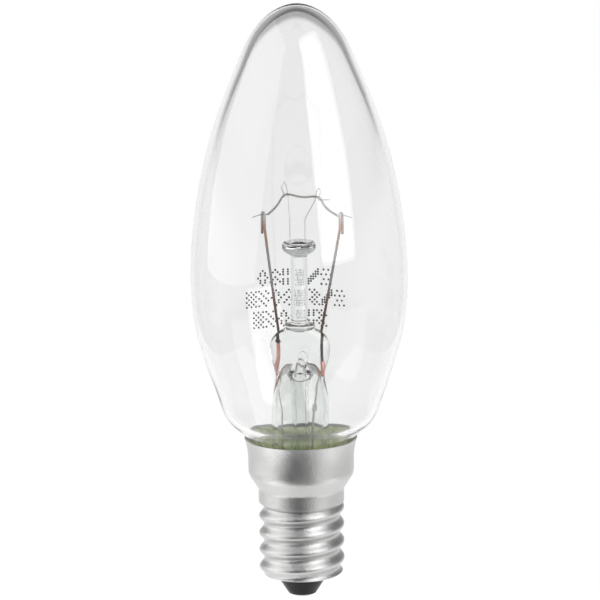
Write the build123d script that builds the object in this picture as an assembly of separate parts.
from build123d import *
import math
import os

# Clear candle lamp with an E14 screw cap, in millimetres.
# The origin is the middle of the end contact, and +Z runs up the lamp's axis to the tip of the bulb.
# The leads stand in the XZ plane, and the exhaust hole looks along -Y.

# Lamp as a whole
LAMP_LENGTH = 97.5
BULB_DIAMETER = 35.0
GLASS_WALL = 0.9
TIP_WALL = 1.4

# Screw cap
CAP_WALL = 0.3
THREAD_MAJOR_DIAMETER = 13.84
THREAD_DEPTH = 0.8
THREAD_PITCH = 2.822
THREAD_LENGTH = 12.3
RUN_OUT = 0.7
BAND_PROUD = 0.02
BAND_LENGTH = 2.2
SHELL_END_Z = 3.55
SHELL_END_ROUNDING = 1.5
SHELL_MOUTH_RADIUS = 3.85
SHOULDER_HEIGHT = 2.5
SHOULDER_ROUNDING = 0.8
SKIRT_ROUNDING = 2.4
SKIRT_RADIUS = 8.57
SKIRT_HEIGHT = 3.8
RIM_HEIGHT = 2.1
RIM_FLARE = 0.56
FLARE_ROUNDING = 12.0

# Black glass and end contact
CONTACT_RADIUS = 2.1
CONTACT_FLAT_RADIUS = 1.1
CONTACT_LEDGE = 0.15
CONTACT_HEIGHT = 0.45
PLATE_THICKNESS = 0.35
EYELET_BORE_RADIUS = 0.45
EYELET_WALL = 0.2
EYELET_LENGTH = 2.4
SOLDER_PLUG = 1.0
CONE_HEIGHT = 2.5
INSULATOR_DEPTH = 3.0
INSULATOR_DISH = 1.1

# Neck seal and capping cement
CEMENT_GAP = 0.5
CEMENT_DEPTH = 3.6
CEMENT_BELOW_RIM = 0.7
RIM_CLEARANCE = 0.15
NECK_BELOW_RIM = 3.2
SEAL_ABOVE_BAND = 2.3
SEAL_THICKNESS = 0.8

# Stem
FLARE_RADIUS = 4.6
FLARE_WALL = 0.8
TRUMPET_HEIGHT = 6.5
PRESS_TOP_Z = 44.7
PRESS_HEIGHT = 14.7
PRESS_WIDTH = 9.8
PRESS_WAIST = 7.9
PRESS_THICKNESS = 3.4
ROD_RADIUS = 1.35
ROD_LENGTH = 12.5
NECK_OF_BUTTON = 0.5
BUTTON_RADIUS = 2.75
BUTTON_HEIGHT = 1.9
EXHAUST_RADIUS = 1.4
EXHAUST_WALL = 0.55
EXHAUST_DEPTH = 6.8
EXHAUST_LENGTH = 28.4
EXHAUST_TAPER = 2.2
EXHAUST_HOLE_WIDTH = 1.2
EXHAUST_HOLE_HEIGHT = 1.9
EXHAUST_HOLE_X = 0.5

# Wires
LEAD_DIAMETER = 0.42
SEAL_WIRE_DIAMETER = 0.56
SHELL_LEAD_DIAMETER = 0.26
FUSE_DIAMETER = 0.3
CONTACT_LEAD_DIAMETER = 0.4
SUPPORT_DIAMETER = 0.14
SUPPORT_SOCKET = 1.0
KNOT_DIAMETER = 0.85
KNOT_HEIGHT = 0.5
CRIMP_DIAMETER = 0.72
CRIMP_LENGTH = 1.0
LEFT_LEAD_X = -3.35
RIGHT_LEAD_X = 3.4
LEFT_WELD_DEPTH = 2.5
RIGHT_WELD_DEPTH = 5.5
LEFT_SEAL_DROP = 7.1
LEFT_SEAL_LEAN = 0.4
SHELL_LEAD_RUN = 3.8
RIGHT_SEAL_DROP = 2.5
RIGHT_SEAL_LEAN = 0.3
FUSE_DROP = 4.6
FUSE_LEAN = 0.83
WIRE_SIDES = 8
LEAD_SIDES = 12

# Filament
COIL_DIAMETER = 0.42
TAIL_DIAMETER = 0.2
TAIL_LENGTH = 1.1
CLAMP_CLEARANCE = 0.025
CLAMP_OFFSET = 0.42
CLAMP_LEG = 3.1
LEFT_KNEE_X = -5.15
RIGHT_KNEE_X = 6.1
LEFT_CLAMP_X = -5.45
LEFT_CLAMP_Z = 63.2
RIGHT_CLAMP_X = 6.6
RIGHT_CLAMP_Z = 62.95
LEFT_HOOK_X = -2.3
LEFT_HOOK_Z = 66.35
RIGHT_HOOK_X = 3.35
RIGHT_HOOK_Z = 65.85
HOOK_CLEARANCE = 0.1
LEFT_SUPPORT_X = -1.4
RIGHT_SUPPORT_X = 1.0
LEFT_LOOP_HEIGHT = 2.5
RIGHT_LOOP_HEIGHT = 1.75
LOOP_WIDTH = 0.42

# Sizes that follow from the ones above
THREAD_ROOT_RADIUS = THREAD_MAJOR_DIAMETER / 2 - THREAD_DEPTH
THREAD_MEAN_RADIUS = THREAD_ROOT_RADIUS + THREAD_DEPTH / 2
THREAD_OFFSET = THREAD_DEPTH / 2
BAND_RADIUS = THREAD_MAJOR_DIAMETER / 2 + BAND_PROUD
SHELL_BORE_RADIUS = THREAD_ROOT_RADIUS - CAP_WALL
BAND_Z = SHELL_END_Z + THREAD_LENGTH
BAND_TOP_Z = BAND_Z + BAND_LENGTH
SKIRT_Z = BAND_TOP_Z + SHOULDER_HEIGHT
RIM_Z = SKIRT_Z + SKIRT_HEIGHT + RIM_HEIGHT
NECK_RADIUS = SKIRT_RADIUS - CAP_WALL - CEMENT_GAP
NECK_BORE_RADIUS = NECK_RADIUS - GLASS_WALL
NECK_TOP_Z = RIM_Z - NECK_BELOW_RIM
THROAT_RADIUS = SKIRT_RADIUS + RIM_FLARE - CAP_WALL - RIM_CLEARANCE
SEAL_Z = BAND_TOP_Z + SEAL_ABOVE_BAND
FLARE_BORE_RADIUS = FLARE_RADIUS - FLARE_WALL
PRESS_FOOT_Z = PRESS_TOP_Z - PRESS_HEIGHT
EXHAUST_TOP_Z = PRESS_TOP_Z - EXHAUST_DEPTH
EXHAUST_TIP_Z = EXHAUST_TOP_Z - EXHAUST_LENGTH
BUTTON_Z = PRESS_TOP_Z + ROD_LENGTH
BUTTON_TOP_Z = BUTTON_Z + BUTTON_HEIGHT
LEFT_WELD_Z = PRESS_TOP_Z - LEFT_WELD_DEPTH
RIGHT_WELD_Z = PRESS_TOP_Z - RIGHT_WELD_DEPTH
COIL_Y = LEAD_DIAMETER / 2 + TAIL_DIAMETER / 2 + CLAMP_CLEARANCE

# Bulb outline up to its widest: share of the height above the rim, share of the way out from the throat
SHOULDER_STATIONS = [
    (0.010, 0.065),
    (0.040, 0.328),
    (0.085, 0.499),
    (0.150, 0.678),
    (0.250, 0.910),
    (0.360, 1.000),
]

# Bulb outline above its widest: share of the height above the rim, share of the widest radius
DOME_STATIONS = [
    (0.543, 0.943),
    (0.712, 0.785),
    (0.866, 0.549),
    (0.955, 0.348),
]

# Press from its foot to its top: share of the height, width and thickness
PRESS_STATIONS = [
    (0.00, 2 * FLARE_RADIUS, 2 * FLARE_RADIUS),
    (0.11, 2 * FLARE_RADIUS, 2 * FLARE_RADIUS),
    (0.24, 1.96 * FLARE_RADIUS, 1.90 * FLARE_RADIUS),
    (0.37, 1.05 * PRESS_WAIST, 2.05 * PRESS_THICKNESS),
    (0.50, PRESS_WAIST, 1.30 * PRESS_THICKNESS),
    (0.63, 0.89 * PRESS_WIDTH, 1.05 * PRESS_THICKNESS),
    (0.78, PRESS_WIDTH, PRESS_THICKNESS),
    (0.91, 0.88 * PRESS_WIDTH, 0.96 * PRESS_THICKNESS),
    (1.00, 2 * ROD_RADIUS, 2 * ROD_RADIUS),
]

# Hollow under the press: share of the press's height, width and thickness
HOLLOW_STATIONS = [
    (0.00, 2 * FLARE_BORE_RADIUS, 2 * FLARE_BORE_RADIUS),
    (0.13, 2 * FLARE_BORE_RADIUS, 1.99 * FLARE_BORE_RADIUS),
    (0.37, 1.05 * PRESS_WAIST - 2 * FLARE_WALL, 2.05 * PRESS_THICKNESS - 2 * FLARE_WALL),
    (0.50, PRESS_WAIST - 2.2 * FLARE_WALL, 0.75 * PRESS_THICKNESS),
    (0.59, PRESS_WAIST - 3.4 * FLARE_WALL, 0.25 * PRESS_THICKNESS),
]


def at(x, z, y=0.0):
    return Vector(x, y, z)


def smooth_curve(points, start_direction, end_direction):
    """A spline through the points that leaves and arrives along the given directions."""
    return Spline(*points, tangents=[start_direction, end_direction], tangent_scalars=[1, 1])


def chain(*points):
    """Straight lines from each point to the next."""
    return [Line(a, b) for a, b in zip(points, points[1:])]


def turned(edges):
    """Turns a closed outline in the XZ plane about the lamp's axis."""
    return revolve(make_face(edges), axis=Axis.Z)


def turned_polygon(*corners):
    """Turns a straight-sided outline of (radius, height) corners about the lamp's axis."""
    points = [at(radius, height) for radius, height in corners]
    return turned(chain(*points, points[0]))


def drum(radius, low, high):
    """An upright cylinder on the lamp's axis between two heights."""
    return Pos(0, 0, (low + high) / 2) * Cylinder(radius, high - low)


def wire(points, diameter, sides=WIRE_SIDES, bend=2.0):
    """A wire along straight runs, with an arc at each sharp corner and a mitre at each gentle one."""
    radii = []
    for before, corner, after in zip(points, points[1:], points[2:]):
        turn = (corner - before).get_angle(after - corner)
        run = min((corner - before).length, (after - corner).length)
        room = 0.45 * run / math.tan(math.radians(max(turn, 1) / 2))
        radii.append(min(bend, room) if turn > 20 else 0)
    path = FilletPolyline(*points, radius=radii) if radii else Line(*points)
    section = Plane(origin=path @ 0, z_dir=path % 0) * RegularPolygon(diameter / 2, sides)
    return sweep(section, path=path, transition=Transition.RIGHT)


# Screw cap


def thread_form():
    """The rounded E14 thread: a circle set off the axis by half the depth of the thread, and
    carried up a helix, so that its edge rises and falls between root and crest."""
    helix = Helix(pitch=THREAD_PITCH, height=THREAD_LENGTH, radius=THREAD_OFFSET, center=(0, 0, SHELL_END_Z))
    circle = Plane(helix @ 0) * Circle(THREAD_MEAN_RADIUS)
    return sweep(circle, path=helix, normal=(0, 0, 1))


def rounded_end():
    """The drum that the thread is trimmed to, with the rounded end of the drawn shell."""
    side = FilletPolyline(
        at(0, SHELL_END_Z), at(BAND_RADIUS, SHELL_END_Z), at(BAND_RADIUS, BAND_TOP_Z), radius=SHELL_END_ROUNDING
    )
    return turned([*side.edges(), *chain(side @ 1, at(0, BAND_TOP_Z), side @ 0)])


def cap_upper_form():
    """Run-out of the thread, guide band, shoulder, skirt and flared rim."""
    side = FilletPolyline(
        at(BAND_RADIUS - RUN_OUT, BAND_Z - RUN_OUT),
        at(BAND_RADIUS, BAND_Z),
        at(BAND_RADIUS, BAND_TOP_Z),
        at(SKIRT_RADIUS, SKIRT_Z),
        at(SKIRT_RADIUS, RIM_Z - RIM_HEIGHT),
        at(SKIRT_RADIUS + RIM_FLARE, RIM_Z),
        radius=[0, SHOULDER_ROUNDING, SKIRT_ROUNDING, FLARE_ROUNDING],
    )
    return turned([*side.edges(), *chain(side @ 1, at(0, RIM_Z), at(0, BAND_Z - RUN_OUT), side @ 0)])


def cap_hollow():
    """The space inside the shell, up through the rim."""
    slope = 0.4 * CAP_WALL
    return turned_polygon(
        (0, SHELL_END_Z + CAP_WALL),
        (SHELL_BORE_RADIUS, SHELL_END_Z + CAP_WALL),
        (SHELL_BORE_RADIUS, BAND_Z),
        (BAND_RADIUS - CAP_WALL, BAND_Z + CAP_WALL),
        (BAND_RADIUS - CAP_WALL, BAND_TOP_Z + slope),
        (SKIRT_RADIUS - CAP_WALL, SKIRT_Z + slope),
        (SKIRT_RADIUS - CAP_WALL, RIM_Z - RIM_HEIGHT),
        (SKIRT_RADIUS + RIM_FLARE - CAP_WALL, RIM_Z),
        (0, RIM_Z),
    )


def cap_shell(form, hollow, lead_hole):
    mouth = drum(SHELL_MOUTH_RADIUS, SHELL_END_Z - CAP_WALL, SHELL_END_Z + 2 * CAP_WALL)
    return form - hollow - mouth - lead_hole


def cap_insulator():
    """Black glass moulded into the shell's end, with a cone outside and a dish inside."""
    floor = SHELL_END_Z + CAP_WALL
    top = SHELL_END_Z + INSULATOR_DEPTH
    bore = EYELET_BORE_RADIUS + EYELET_WALL
    seat_radius = CONTACT_RADIUS
    seat_z = CONTACT_HEIGHT + PLATE_THICKNESS
    return turned_polygon(
        (bore, seat_z),
        (seat_radius, seat_z),
        (seat_radius, CONTACT_HEIGHT),
        (seat_radius + CONTACT_LEDGE, CONTACT_HEIGHT),
        (SHELL_MOUTH_RADIUS, CONTACT_HEIGHT + CONE_HEIGHT),
        (SHELL_MOUTH_RADIUS, floor),
        (SHELL_BORE_RADIUS, floor),
        (SHELL_BORE_RADIUS, top),
        (2 * bore, top - INSULATOR_DISH),
        (bore, top - INSULATOR_DISH),
    )


def contact_plate():
    """Pierced disc with an eyelet that holds it in the black glass."""
    back = CONTACT_HEIGHT + PLATE_THICKNESS
    outer = EYELET_BORE_RADIUS + EYELET_WALL
    return turned_polygon(
        (EYELET_BORE_RADIUS, CONTACT_HEIGHT),
        (CONTACT_RADIUS, CONTACT_HEIGHT),
        (CONTACT_RADIUS, back),
        (outer, back),
        (outer, back + EYELET_LENGTH),
        (EYELET_BORE_RADIUS, back + EYELET_LENGTH),
    )


def centre_solder(lead):
    """Dome of solder with a flat worn on its crown and a plug up the eyelet."""
    edge = CONTACT_RADIUS - CONTACT_LEDGE
    plug_top = CONTACT_HEIGHT + SOLDER_PLUG
    bulge = at((CONTACT_FLAT_RADIUS + edge) / 2 + 0.12, 0.35 * CONTACT_HEIGHT)
    dome = ThreePointArc(at(CONTACT_FLAT_RADIUS, 0), bulge, at(edge, CONTACT_HEIGHT))
    plug = chain(
        at(edge, CONTACT_HEIGHT),
        at(EYELET_BORE_RADIUS, CONTACT_HEIGHT),
        at(EYELET_BORE_RADIUS, plug_top),
        at(0, plug_top),
        at(0, 0),
        at(CONTACT_FLAT_RADIUS, 0),
    )
    return turned([dome, *plug]) - lead


def lead_exit():
    """Where the shell lead comes out of the cap's shoulder, at the back of the lamp."""
    return at(0, (BAND_TOP_Z + SKIRT_Z) / 2 + 0.1, (BAND_RADIUS + SKIRT_RADIUS) / 2)


def side_solder(form, lead):
    """Bead over the hole where the shell lead comes out."""
    bead = Location(lead_exit()) * Rot(-45, 0, 0) * scale(Sphere(1.0), by=(0.95, 0.6, 0.85))
    return bead - form - lead


def capping_cement(hollow, bulb):
    top = RIM_Z - CEMENT_BELOW_RIM
    return (drum(2 * SKIRT_RADIUS, top - CEMENT_DEPTH, top) & hollow) - bulb


# Glass


def bulb_curve():
    """Outer outline of the bulb from the top of its neck to its tip."""
    height = LAMP_LENGTH - RIM_Z
    widest = BULB_DIAMETER / 2
    points = [at(NECK_RADIUS, NECK_TOP_Z), at(THROAT_RADIUS, RIM_Z)]
    for share, way_out in SHOULDER_STATIONS:
        points.append(at(THROAT_RADIUS + (widest - THROAT_RADIUS) * way_out, RIM_Z + height * share))
    for share, radius in DOME_STATIONS:
        points.append(at(widest * radius, RIM_Z + height * share))
    return smooth_curve([*points, at(0, LAMP_LENGTH)], (0, 0, 1), (-1, 0, 0))


def bulb_inner_curve(count=12):
    """The outer outline drawn in by the wall, which thickens towards the tip."""
    outer = bulb_curve()
    points = []
    for step in range(count):
        share = step / count
        along = outer % share
        wall = GLASS_WALL + (TIP_WALL - GLASS_WALL) * share**2
        points.append(outer @ share + Vector(-along.Z, 0, along.X) * wall)
    return smooth_curve([*points, at(0, LAMP_LENGTH - TIP_WALL)], (0, 0, 1), (-1, 0, 0))


def bulb_form(curve):
    """The body inside an outline of the bulb, down to the seal."""
    foot = at((curve @ 0).X, SEAL_Z)
    return turned([curve, *chain(curve @ 1, at(0, SEAL_Z), foot, curve @ 0)])


def glass_envelope(form):
    return form - bulb_form(bulb_inner_curve())


def trumpet():
    """Lower half of the flare tube, which opens into a foot sealed to the neck of the bulb."""
    top = SEAL_Z + TRUMPET_HEIGHT
    outer = smooth_curve(
        [at(NECK_BORE_RADIUS, SEAL_Z + SEAL_THICKNESS), at(FLARE_RADIUS, top)], (-1, 0, 0.25), (0, 0, 1)
    )
    inner = smooth_curve(
        [at(NECK_BORE_RADIUS - SEAL_THICKNESS, SEAL_Z), at(FLARE_BORE_RADIUS, top)], (-0.8, 0, 0.6), (0, 0, 1)
    )
    walls = chain(outer @ 1, at(FLARE_RADIUS, PRESS_FOOT_Z), at(FLARE_BORE_RADIUS, PRESS_FOOT_Z), inner @ 1)
    foot = chain(inner @ 0, at(NECK_BORE_RADIUS, SEAL_Z), outer @ 0)
    return turned([outer, *walls, inner, *foot])


def lofted(stations):
    """A smooth body through ellipses across the lamp's axis, on the press's heights."""
    ellipses = [
        Pos(0, 0, PRESS_FOOT_Z + share * PRESS_HEIGHT) * Ellipse(width / 2, thickness / 2)
        for share, width, thickness in stations
    ]
    return loft(ellipses)


def exhaust_window():
    """The oval hole through the front of the press, with its channel down to the exhaust tube."""
    hole_z = EXHAUST_TOP_Z + EXHAUST_HOLE_HEIGHT
    oval = Ellipse(EXHAUST_HOLE_WIDTH / 2, EXHAUST_HOLE_HEIGHT / 2)
    window = extrude(Plane.XZ * Pos(EXHAUST_HOLE_X, hole_z) * oval, amount=PRESS_THICKNESS)
    return window + drum(EXHAUST_RADIUS - EXHAUST_WALL, EXHAUST_TOP_Z, hole_z)


def stem_flare(inside_parts):
    """Trumpet, flare tube and press in one piece of glass."""
    glass = trumpet() + (lofted(PRESS_STATIONS) - lofted(HOLLOW_STATIONS)) - exhaust_window()
    for piece in inside_parts:
        glass -= piece
    return glass


def exhaust_form():
    shoulder = EXHAUST_TIP_Z + EXHAUST_TAPER
    return turned_polygon(
        (0, EXHAUST_TIP_Z),
        (0.4 * EXHAUST_RADIUS, EXHAUST_TIP_Z),
        (EXHAUST_RADIUS, shoulder),
        (EXHAUST_RADIUS, EXHAUST_TOP_Z),
        (0, EXHAUST_TOP_Z),
    )


def exhaust_tube():
    """Thin tube tipped off to a blunt point."""
    bore = EXHAUST_RADIUS - EXHAUST_WALL
    shoulder = EXHAUST_TIP_Z + EXHAUST_TAPER
    hollow = turned_polygon((0, shoulder - bore), (bore, shoulder), (bore, EXHAUST_TOP_Z), (0, EXHAUST_TOP_Z))
    return exhaust_form() - hollow


def support_rod(supports):
    """Glass rod on the press, with a rounded button pressed on its end."""
    under = at(0.85 * BUTTON_RADIUS, BUTTON_Z)
    widest = at(BUTTON_RADIUS, BUTTON_Z + 0.5 * BUTTON_HEIGHT)
    above = at(0.8 * BUTTON_RADIUS, BUTTON_TOP_Z - 0.05 * BUTTON_HEIGHT)
    rim = ThreePointArc(under, widest, above)
    crown = chain(above, at(0, BUTTON_TOP_Z), at(0, PRESS_TOP_Z))
    shoulder = at(ROD_RADIUS, BUTTON_Z - NECK_OF_BUTTON)
    neck = chain(at(0, PRESS_TOP_Z), at(ROD_RADIUS, PRESS_TOP_Z), shoulder, under)
    rod = turned([rim, *crown, *neck])
    for support in supports:
        rod -= support
    return rod


# Leads


def inner_lead(lead_x, weld_z, knee_x, clamp_x, clamp_z):
    """Lead from its weld in the press up to the clamp, folded back over the filament's tail."""
    side = math.copysign(1, clamp_x)
    fold_z = clamp_z + LEAD_DIAMETER / 2 + TAIL_DIAMETER / 2 + 2 * CLAMP_CLEARANCE
    far_x = clamp_x + side * CLAMP_OFFSET
    rise = [
        at(lead_x, weld_z),
        at(lead_x, PRESS_TOP_Z - 0.08 * PRESS_HEIGHT),
        at(knee_x, clamp_z - 1.6 * CLAMP_LEG),
        at(clamp_x, clamp_z - 0.7 * CLAMP_LEG),
        at(clamp_x, fold_z),
        at(far_x, fold_z, 2 * COIL_Y),
        at(far_x, clamp_z - CLAMP_LEG, 2 * COIL_Y),
    ]
    return wire(rise, LEAD_DIAMETER, LEAD_SIDES)


def weld_knot(x, z):
    half = KNOT_HEIGHT / 2
    radius = KNOT_DIAMETER / 2
    return Pos(x, 0, z + half) * turned_polygon((0, -half), (radius, -0.3 * half), (0.6 * radius, half), (0, half))


def seal_wire(lead_x, weld_z, end):
    middle = at((lead_x + end.X) / 2 + 0.05, (weld_z + end.Z) / 2 - 0.4)
    return wire([at(lead_x, weld_z), at(lead_x, (weld_z + middle.Z) / 2), middle, end], SEAL_WIRE_DIAMETER)


def shell_lead(start):
    """Thin wire down through the flare, out under the seal and through the cap's shoulder."""
    out = lead_exit()
    points = [
        start,
        at(-0.65 * FLARE_RADIUS, start.Z - SHELL_LEAD_RUN),
        at(-0.66 * FLARE_RADIUS, SEAL_Z + TRUMPET_HEIGHT),
        at(-0.5 * FLARE_RADIUS, BAND_TOP_Z, 0.4 * FLARE_RADIUS),
        at(-0.1 * FLARE_RADIUS, BAND_TOP_Z, BAND_RADIUS - 4 * CAP_WALL),
        out + Vector(0, SHELL_LEAD_DIAMETER, 0),
    ]
    return wire(points, SHELL_LEAD_DIAMETER)


def fuse_wire(start, end):
    return wire([start, at((start.X + end.X) / 2, (start.Z + end.Z) / 2), end], FUSE_DIAMETER)


def contact_lead(start):
    """Thick wire from its crimp on the fuse down past the exhaust tube to the end contact."""
    clear_x = EXHAUST_RADIUS + CONTACT_LEAD_DIAMETER
    points = [
        start,
        at(clear_x, start.Z - 7 * CRIMP_LENGTH),
        at(clear_x, EXHAUST_TIP_Z),
        at(0, SHELL_END_Z + INSULATOR_DEPTH),
        at(0, CONTACT_HEIGHT),
    ]
    crimp = Location(start) * Pos(0, 0, -CRIMP_LENGTH / 2) * Cylinder(CRIMP_DIAMETER / 2, CRIMP_LENGTH)
    return wire(points, CONTACT_LEAD_DIAMETER, bend=3.0) + crimp


# Filament and its supports


def filament():
    """The coil's outer form, slack from hook to clamp, with a bare tail through each clamp."""
    beside_lead = LEAD_DIAMETER / 2 + 0.5 * COIL_DIAMETER
    left = at(LEFT_CLAMP_X + beside_lead, LEFT_CLAMP_Z, COIL_Y)
    right = at(RIGHT_CLAMP_X - beside_lead, RIGHT_CLAMP_Z, COIL_Y)
    left_hook = at(LEFT_HOOK_X, LEFT_HOOK_Z, COIL_Y)
    right_hook = at(RIGHT_HOOK_X, RIGHT_HOOK_Z, COIL_Y)
    slack = Vector(0, 0, COIL_DIAMETER)
    points = [
        left,
        left + (left_hook - left) * 0.35 - slack * 0.7,
        left + (left_hook - left) * 0.7 - slack * 0.5,
        left_hook,
        (left_hook + right_hook) / 2 - slack * 0.15,
        right_hook,
        right_hook + (right - right_hook) * 0.3 - slack,
        right_hook + (right - right_hook) * 0.65 - slack * 0.9,
        right,
    ]
    coil = wire(points, COIL_DIAMETER, LEAD_SIDES, bend=0.4)
    return coil + tail(left, -1) + tail(right, 1)


def tail(end, side):
    through = at(side * (LEAD_DIAMETER + 2 * CLAMP_OFFSET), 0)
    loose = at(side * TAIL_LENGTH, -side * 0.35 * TAIL_LENGTH)
    return wire([end - through * 0.1, end + through, end + through + loose], TAIL_DIAMETER)


def support_wire(foot_x, hook, loop_height, free_end):
    """Thin wire out of the button, with a tall loop over the coil, a turn under it and a free end."""
    side = math.copysign(LOOP_WIDTH, hook.X)
    clear = (COIL_DIAMETER + SUPPORT_DIAMETER) / 2 + HOOK_CLEARANCE
    back = Vector(0, clear, 0)
    under = Vector(0, 0, -clear)
    points = [
        at(foot_x, BUTTON_TOP_Z - SUPPORT_SOCKET),
        at(foot_x, (BUTTON_TOP_Z + hook.Z) / 2),
        hook + at(-1.6 * side, -1.2 * clear) + back,
        hook + at(-side, 0.55 * loop_height) + back,
        hook + at(0, loop_height) + back * 0.3,
        hook + at(0.5 * side, 0.6 * loop_height) - back * 0.4,
        hook + at(-0.4 * side, 0) - back + under,
        hook + at(-0.3 * side, 0) + back + under,
        hook + free_end + back * 1.1,
    ]
    return wire(points, SUPPORT_DIAMETER, bend=0.5)


def build():
    hollow = cap_hollow()
    cap_form = (thread_form() & rounded_end()) + cap_upper_form()
    bulb = bulb_form(bulb_curve())
    left_seal_end = at(LEFT_LEAD_X - LEFT_SEAL_LEAN, LEFT_WELD_Z - LEFT_SEAL_DROP)
    right_seal_end = at(RIGHT_LEAD_X - RIGHT_SEAL_LEAN, RIGHT_WELD_Z - RIGHT_SEAL_DROP)
    fuse_end = right_seal_end - at(FUSE_LEAN, FUSE_DROP)
    left_hook = at(LEFT_HOOK_X, LEFT_HOOK_Z, COIL_Y)
    right_hook = at(RIGHT_HOOK_X, RIGHT_HOOK_Z, COIL_Y)
    left_lead = inner_lead(LEFT_LEAD_X, LEFT_WELD_Z, LEFT_KNEE_X, LEFT_CLAMP_X, LEFT_CLAMP_Z)
    left_lead += weld_knot(LEFT_LEAD_X, LEFT_WELD_Z)
    right_lead = inner_lead(RIGHT_LEAD_X, RIGHT_WELD_Z, RIGHT_KNEE_X, RIGHT_CLAMP_X, RIGHT_CLAMP_Z)
    left_seal = seal_wire(LEFT_LEAD_X, LEFT_WELD_Z, left_seal_end)
    right_seal = seal_wire(RIGHT_LEAD_X, RIGHT_WELD_Z, right_seal_end)
    to_shell = shell_lead(left_seal_end)
    fuse = fuse_wire(right_seal_end, fuse_end)
    to_contact = contact_lead(fuse_end)
    left_support = support_wire(LEFT_SUPPORT_X, left_hook, LEFT_LOOP_HEIGHT, at(-0.5, 1.4))
    right_support = support_wire(RIGHT_SUPPORT_X, right_hook, RIGHT_LOOP_HEIGHT, at(1.7, -0.4))
    lead_hole = Location(lead_exit()) * Rot(90, 0, 0) * Cylinder(SHELL_LEAD_DIAMETER / 2, 4 * CAP_WALL)
    in_the_glass = [left_lead, right_lead, left_seal, right_seal, to_shell, fuse, exhaust_form()]
    return {
        "glass_envelope": glass_envelope(bulb),
        "stem_flare": stem_flare(in_the_glass),
        "support_rod": support_rod([left_support, right_support]),
        "exhaust_tube": exhaust_tube(),
        "filament": filament(),
        "inner_lead_left": left_lead,
        "inner_lead_right": right_lead,
        "support_wire_left": left_support,
        "support_wire_right": right_support,
        "seal_wire_left": left_seal,
        "seal_wire_right": right_seal,
        "shell_lead": to_shell,
        "fuse_wire": fuse,
        "contact_lead": to_contact,
        "capping_cement": capping_cement(hollow, bulb),
        "cap_shell": cap_shell(cap_form, hollow, lead_hole + to_shell),
        "cap_insulator": cap_insulator(),
        "contact_plate": contact_plate(),
        "centre_solder": centre_solder(to_contact),
        "side_solder": side_solder(cap_form, to_shell),
    }


os.makedirs("parts", exist_ok=True)
for name, shape in build().items():
    shape.label = name
    export_step(shape, f"parts/{name}.step")
    print(name, len(shape.solids()), round(shape.volume, 3), shape.is_valid)
